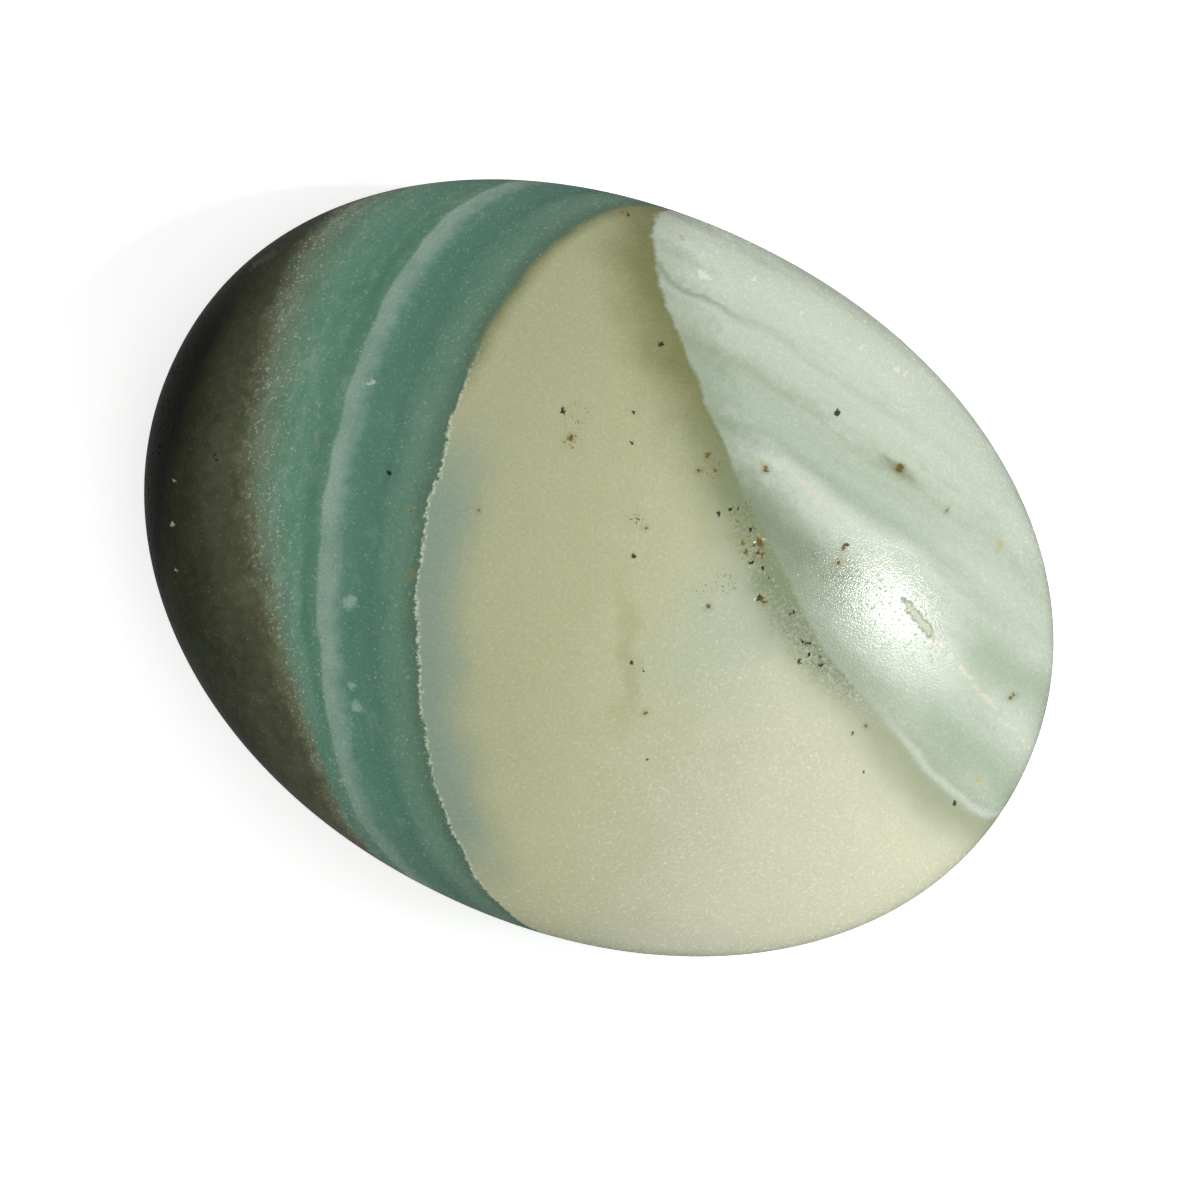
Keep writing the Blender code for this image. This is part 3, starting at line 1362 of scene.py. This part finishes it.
        stone = UmberBed().colour(rock, umber_edge, strata)
        left = CloudedTeal().colour(rock, umber_edge, streak, strata)
        stone = bench.mix(umber_edge.rise(-self.umber_blur, self.umber_blur), stone, left)
        right = DeepTeal().colour(rock, streak, teal_seam, strata)
        stone = bench.mix(streak.rise(*self.streak_blur), stone, right)
        stone = PaleStreak().laid_on(rock, stone, streak)
        cream = CreamBed().colour(rock, teal_seam, green_seam)
        past_teal = teal_seam / (self.teal_blur - crisp * self.teal_crispness)
        stone = bench.mix(past_teal.rise(-1.0, 1.0), stone, cream)
        line = teal_seam.hill(*self.crystal_hill) * rock.mottle.rise(*self.crystal_broken)
        line = line * up.rise(*self.crystal_up)
        stone = bench.mix(line * self.crystal_share, stone, self.crystal)
        green = GreenBed().colour(rock, green_seam)
        past_green = (green_seam + rock.fleck * self.green_waver).rise(-self.green_blur, self.green_blur)
        return bench.mix(past_green, stone, green)

    def _polish(self, rock: RockFields, open_share: Signal) -> tuple[Signal, Socket]:
        """The polish, with its fine sandy grain.

        Args:
            rock: the shared places and noises.
            open_share: how far a place lies open and unpolished, 0 to 1.

        Returns:
            The roughness, and the normal that the grain tilts.
        """
        pinholes = rock.mottle.rise(*self.pinholes) * self.pinhole_roughness
        roughness = self.roughness + rock.dust * self.dust_roughness + pinholes
        roughness = roughness.at_least(open_share * self.open_roughness)
        sockets = {"Height": rock.dust, "Distance": self.grain_depth, "Strength": 1.0}
        return roughness, rock.bench.node("ShaderNodeBump", {}, sockets).outputs["Normal"]


@dataclass
class PolishedStone:
    """The stone itself: a fine skin on the solid's form, with its open marks.

    Round each mark its cells are split once for each of the refinements, which say how many
    millimetres round the mark that goes. The charts give the height of each side's half of
    the baked picture.
    """

    form: StoneForm
    heading: Heading
    cells_across: int = 128
    refinements: tuple[float, ...] = (0.9, 0.5, 0.25)
    weld: float = 0.000001
    chart_margin: float = 0.005
    pocket: Mark = Mark(16.85, -2.75, -51.0, 2.8, 0.46, 0.12, 3.0, 0.75, 4.0)
    scar_azimuth: float = math.radians(161.0)
    scar_polar: float = math.radians(78.0)
    pits: tuple[Mark, ...] = (
        Mark(8.42, -1.64, 10.0, 0.46, 0.34, 0.05),
        Mark(8.42, 1.22, -30.0, 0.44, 0.34, 0.05),
        Mark(12.49, 8.10, 0.0, 0.38, 0.30, 0.05),
        Mark(15.78, 5.19, -35.0, 0.50, 0.30, 0.04),
        Mark(-10.95, 4.92, 0.0, 0.30, 0.26, 0.04),
        Mark(-1.85, 8.21, 0.0, 0.34, 0.26, 0.04),
    )
    charts: dict[Side, float] = field(default_factory=lambda: {Side.TOP: 0.75, Side.BELLY: 0.25})

    def __post_init__(self) -> None:
        """Finds the flake scar's flat."""
        self.scar = FlakeScar.on(self.form, self.scar_azimuth, self.scar_polar)

    def build(self) -> bpy.types.Object:
        """Builds the skin as one mesh object, in metres.

        Returns:
            The stone, linked to the scene.
        """
        skin = bmesh.new()
        for side in Side:
            self._add_side(skin, side)
        bmesh.ops.remove_doubles(skin, verts=skin.verts, dist=self.weld)
        bmesh.ops.recalc_face_normals(skin, faces=skin.faces)
        mesh = bpy.data.meshes.new("polished_stone")
        skin.to_mesh(mesh)
        skin.free()
        mesh.shade_smooth()
        stone = bpy.data.objects.new("polished_stone", mesh)
        bpy.context.scene.collection.objects.link(stone)
        return stone

    def _add_side(self, skin: bmesh.types.BMesh, side: Side) -> None:
        """Adds one dome: a square grid that is refined at the marks, then laid on the form.

        Args:
            skin: the mesh that both domes go into.
            side: the dome.
        """
        sheet = bmesh.new()
        bmesh.ops.create_grid(
            sheet, x_segments=self.cells_across, y_segments=self.cells_across, size=1.0
        )
        for margin in self.refinements:
            self._refine(sheet, margin, side)
        self._lay_out_chart(sheet, side)
        for vertex in sheet.verts:
            vertex.co = self._surface(vertex.co, side)
        laid = bpy.data.meshes.new("laid_side")
        sheet.to_mesh(laid)
        sheet.free()
        skin.from_mesh(laid)
        bpy.data.meshes.remove(laid)

    def _refine(self, sheet: bmesh.types.BMesh, margin: float, side: Side) -> None:
        """Splits the cells in and around each mark.

        The belly's cells are split round the scar too, as the top's are, so that the two
        sides meet point for point on the girdle.

        Args:
            sheet: the dome's grid, still on the unit square.
            margin: how far round each mark the cells are split, in millimetres.
            side: the dome.
        """
        marks = (self.pocket, *self.pits) if side is Side.TOP else ()
        edges = set()
        for face in sheet.faces:
            spot = self._surface(face.calc_center_median(), Side.TOP)
            across, up = self.heading.plan_of(spot.x, spot.y)
            near_scar = (spot - self.scar.middle).length < self.scar.reach + margin * MM
            if near_scar or any(mark.holds(across, up, margin) for mark in marks):
                edges.update(face.edges)
        bmesh.ops.subdivide_edges(sheet, edges=list(edges), cuts=1, use_grid_fill=True)

    @staticmethod
    def _on_disc(cell: Vector) -> tuple[float, float]:
        """Moves a place of the unit square onto the unit disc.

        Args:
            cell: the place on the square, from -1 to 1 each way.

        Returns:
            The place on the disc.
        """
        return (
            cell.x * math.sqrt(1 - cell.y * cell.y / 2),
            cell.y * math.sqrt(1 - cell.x * cell.x / 2),
        )

    def _surface(self, cell: Vector, side: Side) -> Vector:
        """The stone's surface over a place of the unit square.

        Args:
            cell: the place on the square.
            side: the dome.

        Returns:
            The point, in metres.
        """
        x, y = self._on_disc(cell)
        polar = min(1.0, math.hypot(x, y)) * math.pi / 2
        point = self.form.point(math.atan2(y, x), polar, side)
        if point.z <= 0.0:
            return point
        fade = math.cos(polar)
        outward = Vector((0, 0, side.value))
        point += outward * self.form.swell(point) * fade
        point.z = max(point.z, 0.0)
        if side is Side.TOP:
            across, up = self.heading.plan_of(point.x, point.y)
            depth = max(mark.depth_at(across, up) for mark in (self.pocket, *self.pits))
            point -= self._outward(point) * depth * MM
            point = self.scar.cut(point)
        return point

    def _outward(self, point: Vector) -> Vector:
        """About the way that the top's surface faces.

        Args:
            point: a point of the top, in metres.

        Returns:
            The outward direction, of length 1.
        """
        half_length = self.form.high.x
        half_width = self.form.high.y
        over = (point.z - self.form.girdle) / self.form.dome**2
        return Vector((point.x / half_length**2, point.y / half_width**2, over)).normalized()

    def _lay_out_chart(self, sheet: bmesh.types.BMesh, side: Side) -> None:
        """Gives the side its half of the baked picture.

        Args:
            sheet: the side's grid, still on the unit square.
            side: the dome.
        """
        chart = sheet.loops.layers.uv.new("OFBake")
        reach = 0.5 - self.chart_margin
        for face in sheet.faces:
            for loop in face.loops:
                x, y = self._on_disc(loop.vert.co)
                loop[chart].uv = (0.5 + x * reach, self.charts[side] + y * reach / 2)

    def dress(self, stone: bpy.types.Object) -> None:
        """Gives the stone its finish and joins it to the frame.

        Args:
            stone: what build returned.
        """
        rock = BandedRock(self.heading, self.form.girdle, self.pocket)
        stone.data.materials.append(rock.material())
        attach(stone, "root")
        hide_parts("stone")


@dataclass(frozen=True)
class PaleFloor:
    """A plain pale floor under the stone, with a faint glow that keeps the shadow light."""

    half_size: float = 0.9
    cells_across: int = 8
    paleness: Colour = (0.93, 0.93, 0.925, 1.0)
    roughness: float = 0.8
    glow: float = 0.60

    def build(self) -> bpy.types.Object:
        """Makes the floor, which doesn't show in the stone's reflections.

        Returns:
            The floor, linked to the scene.
        """
        sheet = bmesh.new()
        bmesh.ops.create_grid(
            sheet, x_segments=self.cells_across, y_segments=self.cells_across, size=self.half_size
        )
        mesh = bpy.data.meshes.new("pale_floor")
        sheet.to_mesh(mesh)
        sheet.free()
        floor = bpy.data.objects.new("pale_floor", mesh)
        bpy.context.scene.collection.objects.link(floor)
        floor.data.materials.append(self._material())
        floor.visible_glossy = False
        return floor

    def _material(self) -> bpy.types.Material:
        """Makes the floor's matte off-white.

        Returns:
            The material.
        """
        made = bpy.data.materials.new("pale_floor")
        made.use_nodes = True
        bench = NodeBench(made.node_tree)
        shader = bench.node(
            "ShaderNodeBsdfPrincipled",
            {},
            {
                "Base Color": self.paleness,
                "Roughness": self.roughness,
                "Emission Color": self.paleness,
                "Emission Strength": self.glow,
            },
        )
        bench.node("ShaderNodeOutputMaterial", {}, {"Surface": shader.outputs[0]})
        return made


@dataclass(frozen=True)
class SoftLight:
    """A soft light that faces the stone from a direction in the picture.

    A light that isn't mirrored lights the stone but doesn't show in its polish.
    """

    name: str
    right: float
    up: float
    toward_lens: float
    distance: float
    breadth: float
    height: float
    power: float
    mirrored: bool = True

    def place(self, heading: Heading, target: Vector) -> None:
        """Makes the light and turns it to the stone.

        Args:
            heading: how the stone lay before the lens.
            target: the point that it faces, in metres.
        """
        x, y = heading.place_of(self.right, self.up)
        way = Vector((x / MM, y / MM, self.toward_lens)).normalized()
        lamp = bpy.data.lights.new(self.name, "AREA")
        lamp.shape = "ELLIPSE"
        lamp.size = self.breadth
        lamp.size_y = self.height
        lamp.energy = self.power
        holder = bpy.data.objects.new(self.name, lamp)
        holder.location = target + way * self.distance
        holder.rotation_euler = (-way).to_track_quat("-Z", "Y").to_euler()
        holder.visible_glossy = self.mirrored
        bpy.context.scene.collection.objects.link(holder)


@dataclass(frozen=True)
class Studio:
    """The floor, the soft lights and the lens over the stone."""

    form: StoneForm
    heading: Heading
    frame_width: float = 0.0635
    lens: float = 400.0
    sensor: float = 36.0
    picture_middle: tuple[float, float] = (0.11, -1.69)
    room_light: float = 0.10
    lights: tuple[SoftLight, ...] = (
        SoftLight("window", 0.648, 0.024, 0.761, 0.50, 0.030, 0.066, 0.90),
        SoftLight("window_haze", 0.745, -0.12, 0.655, 0.50, 0.10, 0.14, 0.27),
        SoftLight("overhead", 0.00, 0.15, 0.98, 1.30, 1.20, 1.20, 5.70, mirrored=False),
        SoftLight("low_fill", 0.35, -0.75, 0.60, 0.60, 0.45, 0.45, 0.75, mirrored=False),
        SoftLight("side_fill", -0.75, 0.30, 0.60, 0.60, 0.45, 0.45, 0.44, mirrored=False),
    )

    def build(self) -> None:
        """Makes the floor, the lights, the room and the camera."""
        PaleFloor().build()
        middle = Vector((0.0, 0.0, self.form.girdle))
        for light in self.lights:
            light.place(self.heading, middle)
        self._make_room()
        self._make_camera()
        bpy.context.scene.view_settings.view_transform = "Standard"

    def _make_room(self) -> None:
        """An even, plain room round the stone."""
        room = bpy.data.worlds.new("plain_room")
        room.use_nodes = True
        bench = NodeBench(room.node_tree)
        sockets = {"Color": (1.0, 1.0, 1.0, 1.0), "Strength": self.room_light}
        light = bench.node("ShaderNodeBackground", {}, sockets)
        bench.node("ShaderNodeOutputWorld", {}, {"Surface": light.outputs[0]})
        bpy.context.scene.world = room

    def _make_camera(self) -> None:
        """A long lens straight above, turned so that the stone lies as it was pictured."""
        eye = bpy.data.cameras.new("picture_camera")
        eye.lens = self.lens
        eye.sensor_width = self.sensor
        holder = bpy.data.objects.new("picture_camera", eye)
        x, y = self.heading.place_of(*self.picture_middle)
        distance = self.frame_width * self.lens / self.sensor
        holder.location = (x, y, self.form.girdle + distance)
        holder.rotation_euler = (0.0, 0.0, self.heading.turn)
        bpy.context.scene.collection.objects.link(holder)
        bpy.context.scene.camera = holder


def main() -> None:
    """Builds the stone and the studio."""
    logging.basicConfig(level=logging.INFO, format="%(name)s: %(message)s")
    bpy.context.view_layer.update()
    low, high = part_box("stone")
    form = StoneForm(low, high)
    heading = Heading()
    maker = PolishedStone(form, heading)
    stone = maker.build()
    maker.dress(stone)
    log.info("%s: %d faces", stone.name, len(stone.data.polygons))
    Studio(form, heading).build()


if __name__ == "__main__":
    main()
